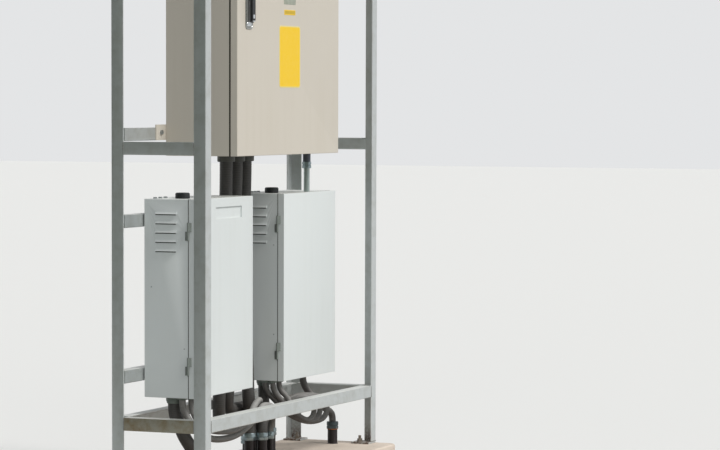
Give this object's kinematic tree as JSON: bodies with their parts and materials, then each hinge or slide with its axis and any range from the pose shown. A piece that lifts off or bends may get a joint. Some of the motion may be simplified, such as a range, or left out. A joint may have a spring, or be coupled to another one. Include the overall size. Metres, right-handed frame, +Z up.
{
  "type": "outdoor electrical cabinet stand",
  "caption": "Open steel angle frame on a concrete plinth, with a wide control cabinet above, louvred boxes below and flexible conduits down to stubs.",
  "frame": {"origin": "centre of the plinth's underside", "axes": "+Z up, the doors face -Y, +X to the right seen from the front"},
  "size_m": [1.724, 0.52, 2.67],
  "materials": {
    "concrete": "rough cast concrete",
    "frame_steel": "dull stainless angle, lightly stained",
    "zinc_steel": "zinc plated",
    "beige_paint": "satin powder coat",
    "white_paint": "satin powder coat",
    "gasket_rubber": "matt",
    "handle_metal": "satin chrome",
    "handle_black": "black",
    "label_plastic": "plain yellow",
    "plate_zinc": "zinc plated sheet",
    "breaker_plastic": "moulded",
    "toggle_plastic": "moulded",
    "terminal_plastic": "moulded",
    "cap_plastic": "moulded",
    "conduit_plastic": "sheathed flexible conduit",
    "gland_plastic": "moulded",
    "stub_plastic": "black pipe",
    "coupling_steel": "zinc plated"
  },
  "bodies": {
    "stand": {"anchor_bolts": "zinc_steel", "bottom_rails": "frame_steel", "bottom_side_rails": "frame_steel", "box_bolts": "zinc_steel", "box_caps": "cap_plastic", "box_glands": "gland_plastic", "box_mounting_plates": "plate_zinc", "box_terminals": "terminal_plastic", "branch_breakers": "breaker_plastic", "cabinet_din_rails": "plate_zinc", "cabinet_glands": "gland_plastic", "cabinet_hinges": "beige_paint", "cabinet_lug_bolts": "zinc_steel", "cabinet_lugs": "beige_paint", "cabinet_mounting_plate": "plate_zinc", "cabinet_shell": "beige_paint", "cabinet_terminals": "terminal_plastic", "concrete_plinth": "concrete", "conduit_cabinet_left": "conduit_plastic", "conduit_cabinet_middle": "conduit_plastic", "conduit_cabinet_right": "conduit_plastic", "conduit_left_box": "conduit_plastic", "conduit_left_box_thin_back": "conduit_plastic", "conduit_left_box_thin_front": "conduit_plastic", "conduit_right_box_coil_back": "conduit_plastic", "conduit_right_box_coil_front": "conduit_plastic", "conduit_right_box_coil_middle": "conduit_plastic", "conduit_right_box_feed": "conduit_plastic", "conduit_right_box_wide": "conduit_plastic", "cross_rails": "frame_steel", "left_box_shell": "white_paint", "main_breaker": "breaker_plastic", "middle_side_rails": "frame_steel", "post_front_left": "frame_steel", "post_front_right": "frame_steel", "post_rear_left": "frame_steel", "post_rear_right": "frame_steel", "right_box_shell": "white_paint", "steel_conduit": "coupling_steel", "steel_conduit_union": "coupling_steel", "stub_couplings": "coupling_steel", "stub_pipes": "stub_plastic", "top_rails": "frame_steel", "top_side_rails": "frame_steel"},
    "cabinet_door": {"cabinet_door": "beige_paint", "cabinet_gasket": "gasket_rubber", "handle_plate": "handle_metal", "lock_case": "plate_zinc", "door_plates": "label_plastic"},
    "handle_spindle": {"handle_spindle": "handle_metal"},
    "handle_lever": {"handle_lever": "handle_black"},
    "lock_rod_upper": {"lock_rod_upper": "plate_zinc"},
    "lock_rod_lower": {"lock_rod_lower": "plate_zinc"},
    "left_box_door": {"left_box_door": "white_paint"},
    "left_box_lock": {"left_box_lock": "handle_metal"},
    "right_box_door": {"right_box_door": "white_paint"},
    "right_box_lock": {"right_box_lock": "handle_metal"},
    "main_toggle": {"main_toggle": "toggle_plastic"},
    "branch_toggle_1": {"branch_toggle_1": "toggle_plastic"},
    "branch_toggle_2": {"branch_toggle_2": "toggle_plastic"}
  },
  "joints": [
    {"name": "cabinet_door_swing", "type": "hinge", "parent": "stand", "child": "cabinet_door", "pos_m": [0.508, -0.1, 2.004], "axis": [0, 0, 1], "range_deg": [0, 110]},
    {"name": "handle_turn", "type": "hinge", "parent": "cabinet_door", "child": "handle_spindle", "pos_m": [-0.395, -0.13, 2.066], "axis": [0, -1, 0], "range_deg": [0, 90]},
    {"name": "handle_lift", "type": "hinge", "parent": "handle_spindle", "child": "handle_lever", "pos_m": [-0.395, -0.1483, 2.066], "axis": [-1, 0, 0], "range_deg": [0, 35]},
    {"name": "upper_rod_slide", "type": "slide", "parent": "cabinet_door", "child": "lock_rod_upper", "axis": [0, 0, -1], "range_m": [0, 0.0185]},
    {"name": "lower_rod_slide", "type": "slide", "parent": "cabinet_door", "child": "lock_rod_lower", "axis": [0, 0, 1], "range_m": [0, 0.0185]},
    {"name": "left_box_door_swing", "type": "hinge", "parent": "stand", "child": "left_box_door", "pos_m": [-0.694, -0.01, 0.8535], "axis": [0, 0, -1], "range_deg": [0, 105]},
    {"name": "left_box_lock_turn", "type": "hinge", "parent": "left_box_door", "child": "left_box_lock", "pos_m": [-0.153, -0.0245, 0.8535], "axis": [1, 0, 0], "range_deg": [0, 90]},
    {"name": "right_box_door_swing", "type": "hinge", "parent": "stand", "child": "right_box_door", "pos_m": [0.148, -0.01, 0.8535], "axis": [0, 0, -1], "range_deg": [0, 105]},
    {"name": "right_box_lock_turn", "type": "hinge", "parent": "right_box_door", "child": "right_box_lock", "pos_m": [0.689, -0.0245, 0.8535], "axis": [1, 0, 0], "range_deg": [0, 90]},
    {"name": "main_toggle_throw", "type": "hinge", "parent": "stand", "child": "main_toggle", "pos_m": [0, 0.068, 2.344], "axis": [1, 0, 0], "range_deg": [0, 48]},
    {"name": "branch_toggle_1_throw", "type": "hinge", "parent": "stand", "child": "branch_toggle_1", "pos_m": [-0.06, 0.0905, 2.164], "axis": [1, 0, 0], "range_deg": [0, 48]},
    {"name": "branch_toggle_2_throw", "type": "hinge", "parent": "stand", "child": "branch_toggle_2", "pos_m": [0.06, 0.0905, 2.164], "axis": [1, 0, 0], "range_deg": [0, 48]}
  ],
  "couplings": [
    {"joint": "upper_rod_slide", "follows": "handle_turn", "m_per_rad": 0.0115},
    {"joint": "lower_rod_slide", "follows": "handle_turn", "m_per_rad": 0.0115}
  ]
}
